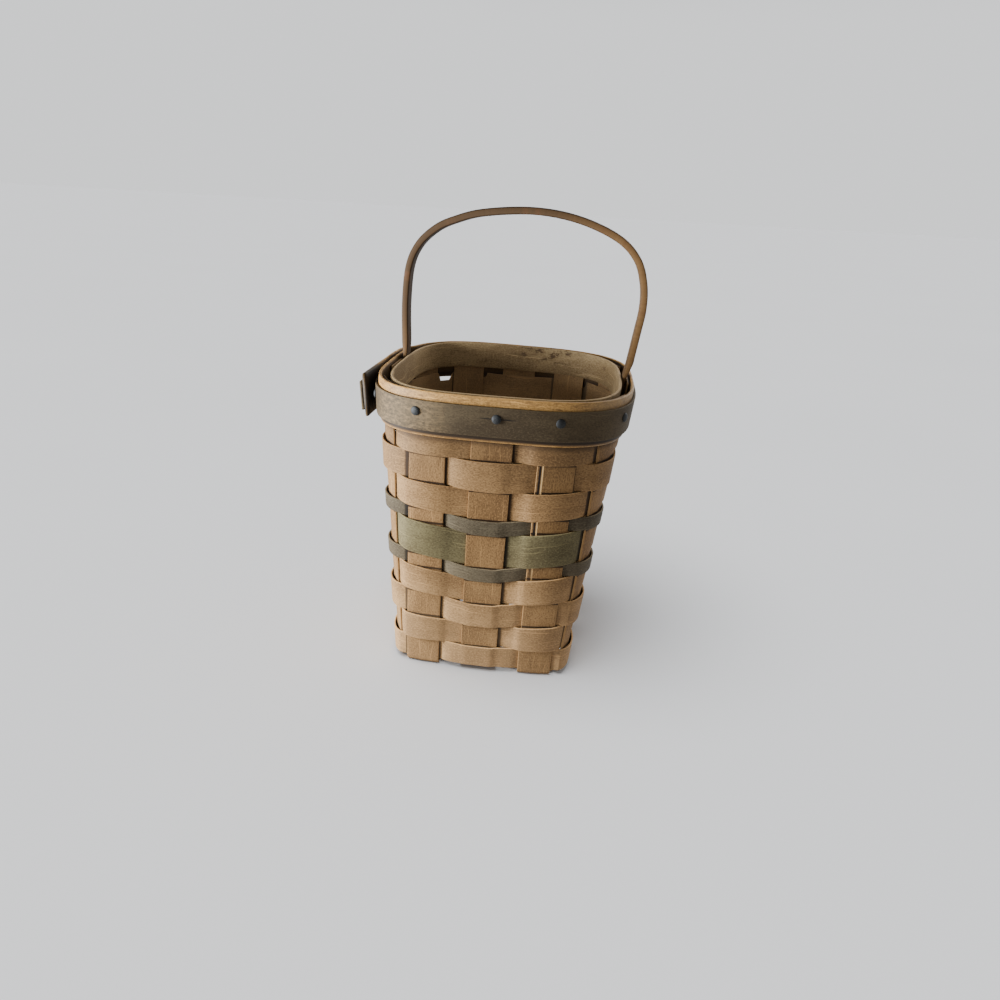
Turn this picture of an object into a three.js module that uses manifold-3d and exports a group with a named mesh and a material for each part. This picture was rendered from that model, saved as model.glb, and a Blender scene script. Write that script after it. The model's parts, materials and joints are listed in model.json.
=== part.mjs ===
// Candle basket: a tapered basket woven from wood splints, with a tacked double rim and a fixed bentwood hoop.
// Millimetres, +Z up. The origin is on the underside of the base, at its middle, and the front faces -Y.
import * as THREE from 'three';
import { mergeVertices } from 'three/addons/utils/BufferGeometryUtils.js';
import Module from 'manifold-3d';

// Clearances
const fit = 0.3; // between pieces that lie against each other
const tackFit = 0.2; // round a tack's shank, and under its head

// Stakes: the splints that run up the walls and under the base, three each way
const stakeThickness = 1.0;
const centreStakeWidth = 19.3;
const outerStakeWidth = 17.6;
const stakeSpacing = 30.5; // from one front-to-back stake's middle to the next
const sideStakeSplay = 7; // how much further apart the outer side-to-side stakes stand at the rim
const stakeBendRadius = 2.5; // middle of the splint, where a wall turns into the base
const stakeTopBelowRim = 1.2;

// Walls: a rounded square that flares and rounds off more towards the rim
const cornerMargin = 7.5; // at the base, from a front-to-back stake's edge to the wall round the corner
const sideCornerMargin = 3.5; // the same for a side-to-side stake, which stands nearer the corner
const wallFlare = 14.4; // how much further out each wall stands at the rim
const wallLean = 4.0; // how far the hand-made walls lean to the right by the rim
const baseSquareness = 9; // superellipse exponents: higher is squarer
const rimSquareness = 3.24;

// Weavers: one closed ring for each row
const weaverThickness = 0.9;
const weaverCrown = 0.9; // how much further a weaver arches over the middle of a stake
const weaverSag = 3.0; // how far a row at half height hangs lower at the middle of a side
const sagFocus = 1.4; // higher keeps the sag to the rows near half height
const firstRowHeight = 3.7;
const baseRowWidth = 12.0;
const baseRowGap = 1.1; // the base row stands a little off the next
const plainRowWidth = 14.5;
const narrowRowWidth = 7.5;
const wideRowWidth = 18.5;
const rimRowWidth = 9.4;

// Rim bands
const outerBandHeight = 21.2;
const outerBandThickness = 2.0;
const trimHeight = 14.1;
const trimAboveBandEdge = 3.1; // from the outer band's lower edge to the trim's
const trimThickness = 1.2;
const innerBandHeight = 14.4;
const innerBandThickness = 1.6;
const lapStart = 26; // where the outer band and trim begin, behind the middle of the left side
const lapRamp = 11; // length over which their last stretch climbs onto their beginning
const lapEnd = 39; // where their outer ends stand off, in front of the middle of the left side

// Handle: a hoop whose tails are thinned to pass between the rim bands
const hoopRise = 76.7; // middle of the hoop's crest above the rim
const hoopThickness = 3.6;
const hoopDepth = 9.0;
const tailThickness = 2.2;
const tailLength = 15.5; // below the rim's top
const leftLegBack = 15; // how far each leg stands behind the middle of its side
const rightLegBack = 3.5;

// Tacks
const tackHeadRadius = 2.2;
const tackHeadHeight = 0.9;
const tackHeadEdge = 0.36; // height of the head's upright edge, below its dome
const tackShankRadius = 0.6;
const tackPointLength = 1.2;
const tackAboveTrimMiddle = 1.8;
const frontTackShifts = [-4, 1.7, -1]; // from the middle of each stake
const underLapTackShift = 5.5; // the tack under the free end of the lap, back from its stake's middle
const tackSegments = 8;

// Colours and finishes
const finishes = {
  stake: { color: 0x9a6f45, roughness: 0.75, metalness: 0 },
  tan: { color: 0xa58058, roughness: 0.7, metalness: 0 },
  olive: { color: 0x6b6449, roughness: 0.72, metalness: 0 },
  dark: { color: 0x55503f, roughness: 0.72, metalness: 0 },
  honey: { color: 0xa5773c, roughness: 0.6, metalness: 0 },
  trim: { color: 0x574a38, roughness: 0.72, metalness: 0 },
  inner: { color: 0x8c7350, roughness: 0.7, metalness: 0 },
  hoop: { color: 0x7b5536, roughness: 0.55, metalness: 0 },
  tack: { color: 0x35393f, roughness: 0.45, metalness: 0.8 },
};

// Rows from the base up, each with its width and finish
const rows = [
  { width: baseRowWidth, gapAbove: baseRowGap, finish: 'tan' },
  { width: plainRowWidth, finish: 'tan' },
  { width: plainRowWidth, finish: 'tan' },
  { width: plainRowWidth, finish: 'tan' },
  { width: narrowRowWidth, finish: 'dark' },
  { width: wideRowWidth, finish: 'olive' },
  { width: narrowRowWidth, finish: 'dark' },
  { width: plainRowWidth, finish: 'tan' },
  { width: plainRowWidth, finish: 'tan' },
  { width: rimRowWidth, finish: 'tan' },
];
let rowEdge = firstRowHeight;
for (const row of rows) {
  row.low = rowEdge;
  row.high = row.low + row.width;
  rowEdge = row.high + (row.gapAbove ?? fit);
}

// Heights and half-widths that follow from the sizes above
const outerBandLow = rowEdge;
const rimTop = outerBandLow + outerBandHeight;
const trimLow = outerBandLow + trimAboveBandEdge;
const tackHeight = trimLow + trimHeight / 2 + tackAboveTrimMiddle;
const innerBandLow = rimTop - innerBandHeight;
const tailLow = rimTop - tailLength;
const stakeTop = rimTop - stakeTopBelowRim;
const outerStakeEdge = stakeSpacing + outerStakeWidth / 2;
const baseHalfWidth = outerStakeEdge + cornerMargin;
const sideStakeSpacing = baseHalfWidth - sideCornerMargin - outerStakeWidth / 2;
const baseLowLevel = stakeThickness / 2; // middle of a splint that lies on the ground
const baseHighLevel = baseLowLevel + stakeThickness + fit; // middle of one that crosses over it

// Layers through the wall, as distances outwards from the middle of the stakes
const stakeFace = stakeThickness / 2;
const weaverLift = stakeFace + fit + weaverThickness / 2;
const outerBandFace = stakeFace + fit;
const trimFace = outerBandFace + outerBandThickness + fit;
const lapStep = outerBandThickness + trimThickness + 2 * fit; // from a layer to its outer lap
const trimOuterFace = trimFace + trimThickness;
const frontInnerBandFace = -(stakeFace + fit);
const sideInnerBandFace = -(stakeFace + fit + tailThickness + fit);

// Sides in turn round the basket: along each, and out of it
const sideNames = ['front', 'right', 'back', 'left'];
const sides = [
  { along: new THREE.Vector3(1, 0, 0), out: new THREE.Vector3(0, -1, 0) },
  { along: new THREE.Vector3(0, 1, 0), out: new THREE.Vector3(1, 0, 0) },
  { along: new THREE.Vector3(-1, 0, 0), out: new THREE.Vector3(0, 1, 0) },
  { along: new THREE.Vector3(0, -1, 0), out: new THREE.Vector3(-1, 0, 0) },
];
const [FRONT, RIGHT, BACK, LEFT] = sideNames.keys();
const quarterTurn = Math.PI / 2;
const stakesPerSide = 3;
const stakesRound = stakesPerSide * sideNames.length;

function wallAt(z) {
  const rise = Math.max(z, 0) / rimTop;
  return {
    half: baseHalfWidth + wallFlare * rise,
    squareness: THREE.MathUtils.lerp(baseSquareness, rimSquareness, Math.sqrt(rise)),
    shift: wallLean * rise,
  };
}

// The middle of the wall at a turn round the basket and a height, and the way out of it.
// A side's middle is at a whole number of quarter turns, and each corner half-way between.
function wallPoint(turn, z) {
  const { half, squareness, shift } = wallAt(z);
  const sideIndex = Math.round(turn / quarterTurn);
  const side = sides[(sideIndex + sides.length) % sides.length];
  const swing = turn - sideIndex * quarterTurn;
  const along = half * Math.sign(swing) * Math.abs(Math.sin(swing)) ** (2 / squareness);
  const depth = half * Math.cos(swing) ** (2 / squareness);
  const point = new THREE.Vector3(shift, 0, z);
  point.addScaledVector(side.along, along).addScaledVector(side.out, depth);
  const slope = Math.sign(swing) * Math.abs(along / depth) ** (squareness - 1);
  const normal = side.out.clone().addScaledVector(side.along, slope).normalize();
  return { point, normal };
}

// The turn at which the wall reaches a distance along a side
function turnAt(sideIndex, along, z) {
  const { half, squareness } = wallAt(z);
  const swing = Math.asin(Math.abs(along / half) ** (squareness / 2));
  return sideIndex * quarterTurn + Math.sign(along) * swing;
}

function wallAlong(sideIndex, along, z) {
  return wallPoint(turnAt(sideIndex, along, z), z);
}

// A place on the straight end of the lap, which carries on where the wall curves away at the corner
function straightPoint(sideIndex, along, z) {
  const { point, normal } = wallAlong(sideIndex, 0, z);
  return { point: point.addScaledVector(sides[sideIndex].along, along), normal };
}

function offsetFrom({ point, normal }, distance) {
  return point.clone().addScaledVector(normal, distance);
}

// Rows hang lowest at the middle of each side and climb to the corners
function sagged(turn, z) {
  const { point } = wallPoint(turn, z);
  const x = point.x - wallAt(z).shift;
  const cornerShare = (8 * x * x * point.y * point.y) / (x * x + point.y * point.y) ** 2;
  const fullness = Math.sin(Math.PI * Math.min(z / outerBandLow, 1)) ** sagFocus;
  return z - weaverSag * fullness * (1 - cornerShare);
}

// The middle of a side's stake, along the side, at a height
function stakeMiddle(sideIndex, stakeIndex, z) {
  const onFrontOrBack = sideIndex % 2 === 0;
  const spacing = onFrontOrBack ? stakeSpacing : sideStakeSpacing + sideStakeSplay * Math.max(z, 0) / rimTop;
  return (stakeIndex - 1) * spacing;
}
const stakeWidths = [outerStakeWidth, centreStakeWidth, outerStakeWidth];

// Stations round the wall: both edges and the middle of each stake, then the gap up to the next stake
function stakeTurn(count, across, z) {
  const sideIndex = Math.floor(count / stakesPerSide);
  const stakeIndex = count % stakesPerSide;
  const along = stakeMiddle(sideIndex, stakeIndex, z) + across * stakeWidths[stakeIndex] / 2;
  return turnAt(sideIndex, along, z);
}

function gapTurn(count, share, z) {
  const next = (count + 1) % stakesRound;
  const wrap = next === 0 ? 2 * Math.PI : 0;
  return THREE.MathUtils.lerp(stakeTurn(count, 1, z), stakeTurn(next, -1, z) + wrap, share);
}

const roundTheWall = [];
for (let count = 0; count < stakesRound; count += 1) {
  const add = (turn, lift) => roundTheWall.push({ count, turn, lift });
  add((z) => stakeTurn(count, -1, z), 1);
  add((z) => stakeTurn(count, 0, z), 'crown');
  add((z) => stakeTurn(count, 1, z), 1);
  const atCorner = count % stakesPerSide === stakesPerSide - 1;
  for (const share of atCorner ? [0.25, 0.5, 0.75] : [0.5]) {
    add((z) => gapTurn(count, share, z), 1 - 2 * share);
  }
}

// A closed solid swept through sections, each a row of inner and a row of outer points
function sweep(sections, closed) {
  const rowLength = sections[0].inner.length;
  const ringLength = 2 * rowLength;
  const positions = [];
  for (const { inner, outer } of sections) {
    for (const corner of [...inner, ...outer.toReversed()]) positions.push(...corner.toArray());
  }
  const index = [];
  const quad = (a, b, c, d) => index.push(a, b, c, a, c, d);
  const spans = closed ? sections.length : sections.length - 1;
  for (let i = 0; i < spans; i += 1) {
    const here = i * ringLength;
    const next = ((i + 1) % sections.length) * ringLength;
    for (let k = 0; k < ringLength; k += 1) {
      const step = (k + 1) % ringLength;
      quad(here + k, here + step, next + step, next + k);
    }
  }
  if (!closed) {
    const last = (sections.length - 1) * ringLength;
    for (let k = 0; k < rowLength - 1; k += 1) {
      const far = ringLength - 1 - k;
      quad(k, far, far - 1, k + 1);
      quad(last + k, last + k + 1, last + far - 1, last + far);
    }
  }
  const geometry = new THREE.BufferGeometry();
  geometry.setAttribute('position', new THREE.Float32BufferAttribute(positions, 3));
  geometry.setIndex(index);
  return facingOut(geometry);
}

// Turns a closed geometry's triangles so that they face outwards
function facingOut(geometry) {
  const position = geometry.getAttribute('position');
  const index = geometry.getIndex().array;
  const [a, b, c] = [new THREE.Vector3(), new THREE.Vector3(), new THREE.Vector3()];
  let volume = 0;
  for (let i = 0; i < index.length; i += 3) {
    a.fromBufferAttribute(position, index[i]);
    b.fromBufferAttribute(position, index[i + 1]);
    c.fromBufferAttribute(position, index[i + 2]);
    volume += a.dot(b.cross(c));
  }
  if (volume < 0) {
    for (let i = 0; i < index.length; i += 3) [index[i], index[i + 1]] = [index[i + 1], index[i]];
  }
  return geometry;
}

// Boolean cuts
const wasm = await Module();
wasm.setup();

const weldDistance = 1e-4;

function toSolid(geometry, matrix = new THREE.Matrix4()) {
  const bare = geometry.clone().applyMatrix4(matrix);
  bare.deleteAttribute('normal');
  bare.deleteAttribute('uv');
  const merged = mergeVertices(bare, weldDistance);
  return new wasm.Manifold(new wasm.Mesh({
    numProp: 3,
    vertProperties: new Float32Array(merged.getAttribute('position').array),
    triVerts: new Uint32Array(merged.getIndex().array),
  }));
}

function toGeometry(solid) {
  const mesh = solid.getMesh();
  const geometry = new THREE.BufferGeometry();
  geometry.setAttribute('position', new THREE.BufferAttribute(new Float32Array(mesh.vertProperties), 3));
  geometry.setIndex(new THREE.BufferAttribute(new Uint32Array(mesh.triVerts), 1));
  return geometry;
}

function cut(geometry, tools) {
  let solid = toSolid(geometry);
  for (const tool of tools) solid = solid.subtract(tool);
  return toGeometry(solid);
}

// A section of a band or weaver: inner and outer faces, each from its lower to its upper edge
function bandSection(place, low, high, innerFace, outerFace) {
  const [lowPlace, highPlace] = [place(low), place(high)];
  return {
    inner: [offsetFrom(lowPlace, innerFace(lowPlace)), offsetFrom(highPlace, innerFace(highPlace))],
    outer: [offsetFrom(lowPlace, outerFace(lowPlace)), offsetFrom(highPlace, outerFace(highPlace))],
  };
}

// Weavers: each row goes over every other stake, and the next row over the ones between
function weaver(row, rowIndex) {
  const sections = roundTheWall.map(({ count, turn, lift }) => {
    const over = (rowIndex + count) % 2 === 0 ? -1 : 1;
    const distance = over * (lift === 'crown' ? weaverLift + weaverCrown : weaverLift * lift);
    const place = (z) => {
      const level = sagged(turn(z), z);
      return wallPoint(turn(level), level);
    };
    const innerFace = () => distance - weaverThickness / 2;
    const outerFace = () => distance + weaverThickness / 2;
    return bandSection(place, row.low, row.high, innerFace, outerFace);
  });
  return sweep(sections, true);
}

// Stakes: up one wall, round the bend, woven across the base and up the opposite wall
function stake(upSide, stakeIndex) {
  const downSide = (upSide + 2) % sides.length;
  const crossedSide = upSide === FRONT ? RIGHT : FRONT;
  const acrossWidth = (z) => [-1, 0, 1].map((sign) =>
    stakeMiddle(upSide, stakeIndex, z) + sign * stakeWidths[stakeIndex] / 2);
  const firstLow = (upSide + stakeIndex) % 2 === 0;
  const levels = [0, 1, 2].map((crossing) =>
    (crossing % 2 === 0) === firstLow ? baseLowLevel : baseHighLevel);
  const bendTop = levels[0] + stakeBendRadius;
  const wallHeights = [bendTop, ...rows.map((row) => row.low).filter((z) => z > bendTop + fit),
    outerBandLow, tackHeight, stakeTop];

  const wallSections = (sideIndex, mirror) => {
    const places = (z) => acrossWidth(z).map((along) => wallAlong(sideIndex, mirror * along, z));
    const section = (points, normals) => ({
      inner: points.map((point, i) => point.clone().addScaledVector(normals[i], -stakeFace)),
      outer: points.map((point, i) => point.clone().addScaledVector(normals[i], stakeFace)),
    });
    const straight = wallHeights.toReversed().map((z) => {
      const row = places(z);
      return section(row.map(({ point }) => point), row.map(({ normal }) => normal));
    });
    const down = new THREE.Vector3(0, 0, -1);
    const bend = [1 / 3, 2 / 3, 1].map((share) => {
      const angle = share * quarterTurn;
      const row = places(bendTop);
      const normals = row.map(({ normal }) =>
        normal.clone().multiplyScalar(Math.cos(angle)).addScaledVector(down, Math.sin(angle)));
      const points = row.map(({ point, normal }, i) =>
        point.clone().addScaledVector(normal, -stakeBendRadius).addScaledVector(normals[i], stakeBendRadius));
      return section(points, normals);
    });
    return [...straight, ...bend];
  };

  const baseSections = levels.flatMap((level, crossing) => {
    const crossed = -stakeMiddle(crossedSide, crossing, 0);
    const halfFlat = stakeWidths[crossing] / 2;
    return [crossed + halfFlat, crossed - halfFlat].map((outwards) => {
      const points = acrossWidth(0).map((along) => new THREE.Vector3(0, 0, level)
        .addScaledVector(sides[upSide].along, along).addScaledVector(sides[upSide].out, outwards));
      const raised = (by) => points.map((point) => point.clone().setZ(point.z + by));
      return { inner: raised(stakeFace), outer: raised(-stakeFace) };
    });
  });
  return sweep([...wallSections(upSide, 1), ...baseSections, ...wallSections(downSide, -1).toReversed()], false);
}

// Inner band: a closed ring that leaves room for the handle's tails on the left and right
function innerBandOuterFace({ normal }) {
  return THREE.MathUtils.lerp(frontInnerBandFace, sideInnerBandFace, normal.x ** 2);
}

function innerBand() {
  const innerFace = (place) => innerBandOuterFace(place) - innerBandThickness;
  const sections = roundTheWall.map(({ turn }) => {
    const place = (z) => wallPoint(turn(z), z);
    return bandSection(place, innerBandLow, rimTop, innerFace, innerBandOuterFace);
  });
  return sweep(sections, true);
}

// Outer band and trim: they start on the left, go once round and lap over their own beginning
function lappedBand(low, high, face, thickness) {
  const section = (place, lap) => bandSection(place, low, high,
    () => face + lap * lapStep, () => face + lap * lapStep + thickness);
  const atStation = ({ turn }) => (z) => wallPoint(turn(z), z);
  const onLeft = (along) => (z) => wallAlong(LEFT, along, z);
  const middle = (low + high) / 2;
  const leftStart = turnAt(LEFT, -lapStart, middle);
  const rampStart = turnAt(LEFT, -lapStart - lapRamp, middle);
  const leftMiddle = turnAt(LEFT, 0, middle);

  const between = (from, to) => roundTheWall.filter(({ turn }) => turn(middle) > from && turn(middle) < to);
  const round = [
    section(onLeft(-lapStart), 0),
    ...between(leftStart, Infinity).map((station) => section(atStation(station), 0)),
    ...between(-Infinity, rampStart).map((station) => section(atStation(station), 0)),
    section(onLeft(-lapStart - lapRamp), 0),
    section(onLeft(-lapStart - fit), 1),
    ...between(leftStart, leftMiddle).map((station) => section(atStation(station), 1)),
    ...[0, lapEnd / 2, lapEnd].map((along) => section((z) => straightPoint(LEFT, along, z), 1)),
  ];
  return sweep(round, false);
}

// Handle: the hoop's middle line, as shares of the span between its legs and of its rise
const hoopLine = [
  [0.0, 0.1], [0.0, 0.37], [0.016, 0.61], [0.058, 0.755], [0.128, 0.858], [0.205, 0.918], [0.33, 0.974],
  [0.53, 1.0], [0.71, 0.965], [0.87, 0.87], [0.955, 0.75], [0.992, 0.6], [1.0, 0.45], [0.99, 0.3], [0.975, 0.1],
];
const hoopSpread = 5.0; // how much further right the hoop reaches than the right tail
const hoopSteps = 36;
const legSwell = 5; // height over which a tail grows to the hoop's thickness

function handle() {
  const tailFace = -(stakeFace + fit);
  const tailSection = (sideIndex, along, z) => {
    const edges = [-1, 1].map((sign) => wallAlong(sideIndex, along + sign * hoopDepth / 2, z));
    const front = sideIndex === LEFT ? edges.toReversed() : edges;
    return {
      inner: front.map((place) => offsetFrom(place, tailFace - tailThickness)),
      outer: front.map((place) => offsetFrom(place, tailFace)),
    };
  };
  const tail = (sideIndex, along) => [tailLow, innerBandLow, rimTop + fit]
    .map((z) => tailSection(sideIndex, along, z));
  const leftTail = tail(LEFT, -leftLegBack);
  const rightTail = tail(RIGHT, rightLegBack);

  const middleOf = ({ inner, outer }) => inner[0].clone().add(outer[0]).add(inner[1]).add(outer[1]).divideScalar(4);
  const leftFoot = middleOf(leftTail.at(-1));
  const rightFoot = middleOf(rightTail.at(-1));
  const span = rightFoot.x + hoopSpread - leftFoot.x;
  const points = hoopLine.map(([across, up]) => {
    const y = THREE.MathUtils.lerp(leftFoot.y, rightFoot.y, across);
    return new THREE.Vector3(leftFoot.x + across * span, y, rimTop + up * hoopRise);
  });
  const curve = new THREE.CatmullRomCurve3(points, false, 'centripetal');
  const depth = new THREE.Vector3(0, hoopDepth / 2, 0);
  const hoop = [];
  for (let i = 0; i <= hoopSteps; i += 1) {
    const middle = curve.getPointAt(i / hoopSteps);
    const along = curve.getTangentAt(i / hoopSteps).setY(0).normalize();
    const outwards = new THREE.Vector3(-along.z, 0, along.x);
    const swell = Math.min((middle.z - rimTop) / legSwell, 1);
    const reach = THREE.MathUtils.lerp(tailThickness, hoopThickness, swell) / 2;
    const pair = (distance) => [-1, 1].map((sign) =>
      middle.clone().addScaledVector(outwards, distance).addScaledVector(depth, sign));
    hoop.push({ inner: pair(-reach), outer: pair(reach) });
  }
  return sweep([...leftTail, ...hoop, ...rightTail.toReversed()], false);
}

// Tacks: a low domed head on a shank that ends half-way into the inner band
function tackPlaces() {
  const onStakes = (sideIndex, shifts) => shifts.map((shift, i) => stakeMiddle(sideIndex, i, tackHeight) + shift);
  const alongSide = [
    onStakes(FRONT, frontTackShifts),
    [stakeMiddle(RIGHT, 0, tackHeight), rightLegBack, stakeMiddle(RIGHT, 2, tackHeight)],
    onStakes(BACK, [0, 0, 0]),
    [stakeMiddle(LEFT, 0, tackHeight), -leftLegBack, stakeMiddle(LEFT, 2, tackHeight) - underLapTackShift],
  ];
  return alongSide.flatMap((row, sideIndex) => row.map((along, i) => {
    const throughLap = sideIndex === LEFT && along > -lapStart && along < 0;
    const wall = wallAlong(sideIndex, along, tackHeight);
    const seat = offsetFrom(wall, trimOuterFace + (throughLap ? lapStep : 0) + tackFit);
    const length = trimOuterFace + (throughLap ? lapStep : 0) + tackFit
      - innerBandOuterFace(wall) + innerBandThickness / 2;
    return { name: `tack_${sideNames[sideIndex]}_${i + 1}`, seat, normal: wall.normal, length };
  }));
}

function turned(profile) {
  const points = profile.map(([radius, height]) => new THREE.Vector2(radius, height));
  return new THREE.LatheGeometry(points, tackSegments);
}

function tackGeometry(length) {
  const domeRise = tackHeadHeight - tackHeadEdge;
  const dome = [0, 1 / 2, 1].map((share) => {
    const angle = share * quarterTurn;
    return [tackHeadRadius * Math.cos(angle), tackHeadEdge + domeRise * Math.sin(angle)];
  });
  dome.at(-1)[0] = 0;
  return turned([
    [0, -length], [tackShankRadius, tackPointLength - length], [tackShankRadius, 0], [tackHeadRadius, 0], ...dome,
  ]);
}

function tackHole(length) {
  const radius = tackShankRadius + tackFit;
  const clearOfHead = tackHeadHeight;
  return turned([[0, -length - tackFit], [radius, -length - tackFit], [radius, clearOfHead], [0, clearOfHead]]);
}

// Assembly
const basket = new THREE.Group();

function addPiece(name, geometry, finish) {
  const piece = new THREE.Mesh(geometry, new THREE.MeshStandardMaterial(finishes[finish]));
  piece.name = name;
  basket.add(piece);
  return piece;
}

const tacks = tackPlaces();
const holes = tacks.map(({ seat, normal, length }) => {
  const turn = new THREE.Quaternion().setFromUnitVectors(new THREE.Vector3(0, 1, 0), normal);
  const matrix = new THREE.Matrix4().compose(seat, turn, new THREE.Vector3(1, 1, 1));
  return toSolid(tackHole(length), matrix);
});

['left', 'centre', 'right'].forEach((place, i) => {
  addPiece(`stake_front_to_back_${place}`, cut(stake(FRONT, i), holes), 'stake');
});
['front', 'centre', 'back'].forEach((place, i) => {
  addPiece(`stake_side_to_side_${place}`, cut(stake(RIGHT, i), holes), 'stake');
});
rows.forEach((row, i) => {
  addPiece(`weaver_row_${String(i + 1).padStart(2, '0')}`, weaver(row, i), row.finish);
});
const outerBand = lappedBand(outerBandLow, rimTop, outerBandFace, outerBandThickness);
const trimStrip = lappedBand(trimLow, trimLow + trimHeight, trimFace, trimThickness);
addPiece('rim_band_inner', cut(innerBand(), holes), 'inner');
addPiece('rim_band_outer', cut(outerBand, holes), 'honey');
addPiece('rim_trim_strip', cut(trimStrip, holes), 'trim');
addPiece('handle_hoop', cut(handle(), holes), 'hoop');
tacks.forEach(({ name, seat, normal, length }) => {
  const tack = addPiece(name, tackGeometry(length), 'tack');
  tack.position.copy(seat);
  tack.quaternion.setFromUnitVectors(new THREE.Vector3(0, 1, 0), normal);
});

export default basket;
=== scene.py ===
# Candle basket: the finishes and the fine shapes of its splints, rim bands, handle and tacks.
import json
import math

import bmesh
import bpy
import numpy as np
from mathutils import Matrix, Vector


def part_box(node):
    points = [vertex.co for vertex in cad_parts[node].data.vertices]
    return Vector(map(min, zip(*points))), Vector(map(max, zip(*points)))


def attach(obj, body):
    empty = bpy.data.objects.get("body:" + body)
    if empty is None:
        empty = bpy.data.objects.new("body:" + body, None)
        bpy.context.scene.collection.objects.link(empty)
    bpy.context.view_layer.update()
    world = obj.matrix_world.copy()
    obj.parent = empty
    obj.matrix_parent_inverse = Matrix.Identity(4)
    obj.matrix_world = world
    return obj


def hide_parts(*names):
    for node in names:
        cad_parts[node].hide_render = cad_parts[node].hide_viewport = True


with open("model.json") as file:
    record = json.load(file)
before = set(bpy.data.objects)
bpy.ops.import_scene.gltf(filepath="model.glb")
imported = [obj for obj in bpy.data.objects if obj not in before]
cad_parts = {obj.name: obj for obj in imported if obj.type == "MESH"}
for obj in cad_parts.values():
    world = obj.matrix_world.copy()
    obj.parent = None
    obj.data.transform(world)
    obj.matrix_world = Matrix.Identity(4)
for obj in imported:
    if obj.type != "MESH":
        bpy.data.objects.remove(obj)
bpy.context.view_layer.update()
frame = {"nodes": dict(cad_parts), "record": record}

MM = 0.001

# Camera, as the photograph was taken
FOCAL_PIXELS = 698.7
PICTURE_PIXELS = 1000
SENSOR_MM = 36.0
CAMERA_DISTANCE = 395.0
CAMERA_AZIMUTH = math.radians(5.81)
CAMERA_ELEVATION = math.radians(22.65)
CAMERA_ROLL = math.radians(3.26)
TARGET_RIGHT = 2.5
TARGET_UP = 81.2
CLIP_START = 10.0

# Sizes of the basket in millimetres, as in its solids, apart from the base row: it is 1.1 taller here,
# so that no daylight shows over it
FIT = 0.3
STAKE_THICKNESS = 1.0
STAKE_WIDTHS = (17.6, 19.3, 17.6)
FRONT_SPACING = 30.5
SIDE_SPACING = 34.5
SIDE_SPLAY = 7.0
BEND_RADIUS = 2.5
BASE_HALF = 46.8
WALL_FLARE = 14.4
WALL_LEAN = 4.0
BASE_SQUARENESS = 9.0
RIM_SQUARENESS = 3.24
WEAVER_THICKNESS = 0.9
WEAVER_SAG = 3.0
SAG_FOCUS = 1.4
OUTER_BAND_THICKNESS = 2.0
TRIM_THICKNESS = 1.2
INNER_BAND_THICKNESS = 1.6
LAP_START = 26.0
LAP_RAMP = 11.0
LAP_END = 39.0
TAIL_THICKNESS = 2.2
HOOP_THICKNESS = 3.6
HOOP_DEPTH = 9.0
HOOP_SPREAD = 5.0
LEFT_LEG_BACK = 15.0
RIGHT_LEG_BACK = 3.5
TACK_HEAD_RADIUS = 2.2
TACK_HEAD_HEIGHT = 0.9
ROW_LOWS = (3.7, 16.8, 31.6, 46.4, 61.2, 69.0, 87.8, 95.6, 110.4, 125.2)
ROW_WIDTHS = (13.1, 14.5, 14.5, 14.5, 7.5, 18.5, 7.5, 14.5, 14.5, 9.4)


def top_of(node):
    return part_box(node)[1].z / MM


def bottom_of(node):
    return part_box(node)[0].z / MM


RIM_TOP = top_of("rim_band_outer")
BAND_LOW = bottom_of("rim_band_outer")
TRIM_LOW = bottom_of("rim_trim_strip")
TRIM_TOP = top_of("rim_trim_strip")
INNER_LOW = bottom_of("rim_band_inner")
TAIL_LOW = bottom_of("handle_hoop")
STAKE_TOP = top_of("stake_front_to_back_centre")

STAKE_FACE = STAKE_THICKNESS / 2
WEAVER_LIFT = STAKE_FACE + FIT + WEAVER_THICKNESS / 2

# A row rises fast from behind a stake and falls slowly to the next: how far its middle stands out from the
# wall at the left edge, the middle and the right edge of a stake that it passes over, or behind
LIFTS_OVER = (WEAVER_LIFT + 0.35, WEAVER_LIFT + 0.65, WEAVER_LIFT - 0.25)
LIFTS_BEHIND = (0.6 - WEAVER_LIFT, -0.25 - WEAVER_LIFT, -0.2 - WEAVER_LIFT)

# The stakes are pulled a little out of line by that, at their left edge, middle and right edge
STAKE_TWIST = (0.4, 0.0, -0.3)
TWIST_FADE = 15.0

# A stake has a painted shadow at each row's lower edge: how far down from it, how many times shorter above
# it, and how strong at the edge
SHADE_REACH = 4.0
SHADE_SHORTER = 2.5
SHADE_START = 1.15

OUTER_FACE = STAKE_FACE + FIT
TRIM_FACE = OUTER_FACE + OUTER_BAND_THICKNESS + FIT
LAP_STEP = OUTER_BAND_THICKNESS + TRIM_THICKNESS + 2 * FIT
FRONT_INNER_FACE = -(STAKE_FACE + FIT)
SIDE_INNER_FACE = FRONT_INNER_FACE - TAIL_THICKNESS - FIT
LOW_LEVEL = STAKE_THICKNESS / 2
HIGH_LEVEL = LOW_LEVEL + STAKE_THICKNESS + FIT

# The rim isn't quite level: how much higher it stands at its back corners
BACK_LEFT_RISE = 2.2
BACK_RIGHT_RISE = 0.7
RIM_REACH = 60.0

# The top row runs on behind the rim where it is inside the stakes, except at one gap that shows daylight
TOP_ROW = len(ROW_LOWS) - 1
TOP_ROW_TUCK = 5.0
DAYLIGHT_GAP = 8

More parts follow.
